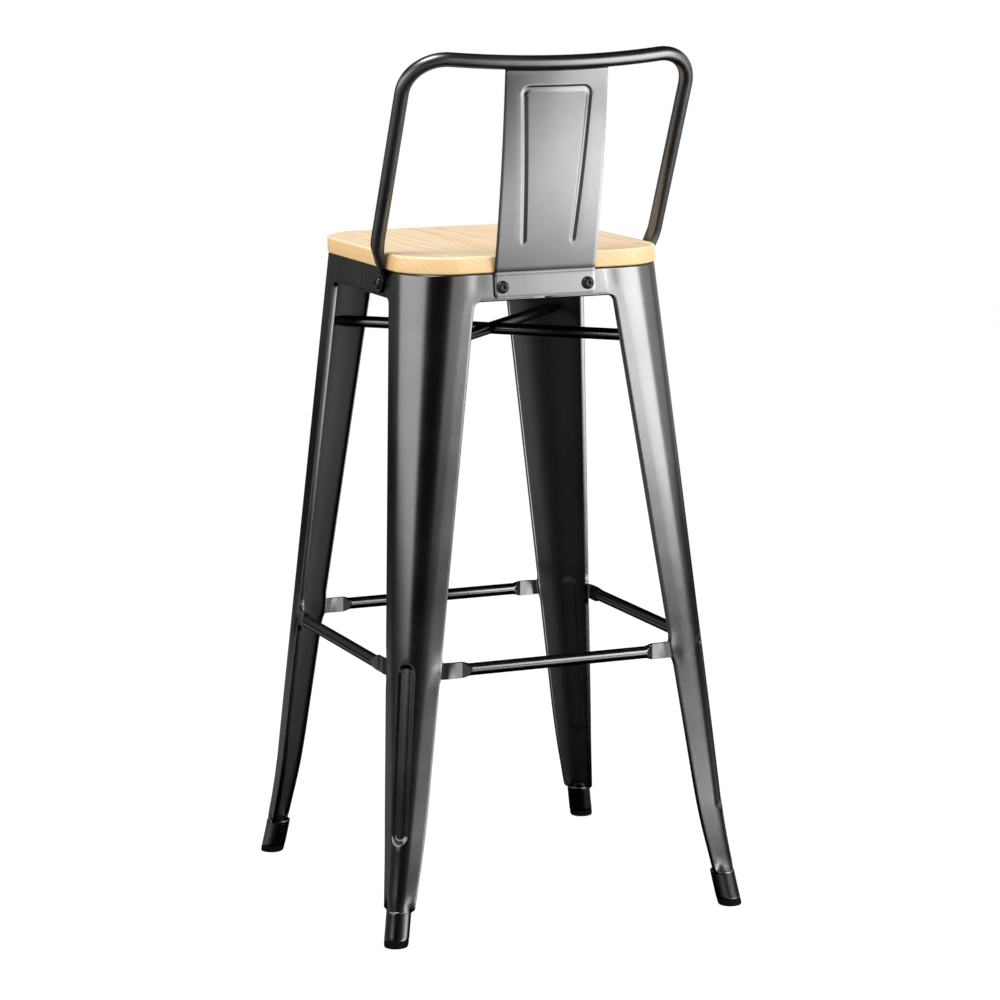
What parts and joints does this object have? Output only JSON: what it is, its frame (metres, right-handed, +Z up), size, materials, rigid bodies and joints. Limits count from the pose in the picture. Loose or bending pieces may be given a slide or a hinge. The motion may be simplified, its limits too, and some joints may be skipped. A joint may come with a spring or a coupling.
{
  "type": "bar stool",
  "caption": "Metal bar stool with splayed pressed-sheet legs, footrest rails, a low bowed hoop back with a splat, and a square wooden board seat.",
  "frame": {"origin": "on the floor, under the middle of the seat and of the four feet", "axes": "+Z up; the sitter faces -Y and the hoop back is on +Y; +X is the sitter's left"},
  "size_m": [0.4394, 0.4614, 0.9868],
  "materials": {
    "painted_steel": "satin dark gunmetal lacquer over sheet steel and tube",
    "black_fastener": "blackened steel bolts, nuts and screws",
    "rubber": "matte black rubber",
    "light_wood": "edge-glued light softwood boards, satin clear lacquer"
  },
  "bodies": {
    "root": {"leg_rear_left": "painted_steel", "leg_rear_right": "painted_steel", "leg_front_left": "painted_steel", "leg_front_right": "painted_steel", "footrest_rear": "painted_steel", "footrest_front": "painted_steel", "footrest_left": "painted_steel", "footrest_right": "painted_steel", "brace_long": "painted_steel", "brace_half_rear": "painted_steel", "brace_half_front": "painted_steel", "back_hoop": "painted_steel", "back_splat": "painted_steel", "seat_pan": "painted_steel", "splat_bolt_left": "black_fastener", "splat_bolt_right": "black_fastener", "hoop_bolt_left": "black_fastener", "hoop_bolt_right": "black_fastener", "splat_nut_left": "black_fastener", "splat_nut_right": "black_fastener", "hoop_nut_left": "black_fastener", "hoop_nut_right": "black_fastener", "seat_screw_rear_left": "black_fastener", "seat_screw_rear_right": "black_fastener", "seat_screw_front_left": "black_fastener", "seat_screw_front_right": "black_fastener", "foot_rear_left": "rubber", "foot_rear_right": "rubber", "foot_front_left": "rubber", "foot_front_right": "rubber", "seat_board_1": "light_wood", "seat_board_2": "light_wood", "seat_board_3": "light_wood", "seat_board_4": "light_wood", "seat_board_5": "light_wood", "seat_board_6": "light_wood"}
  },
  "joints": []
}
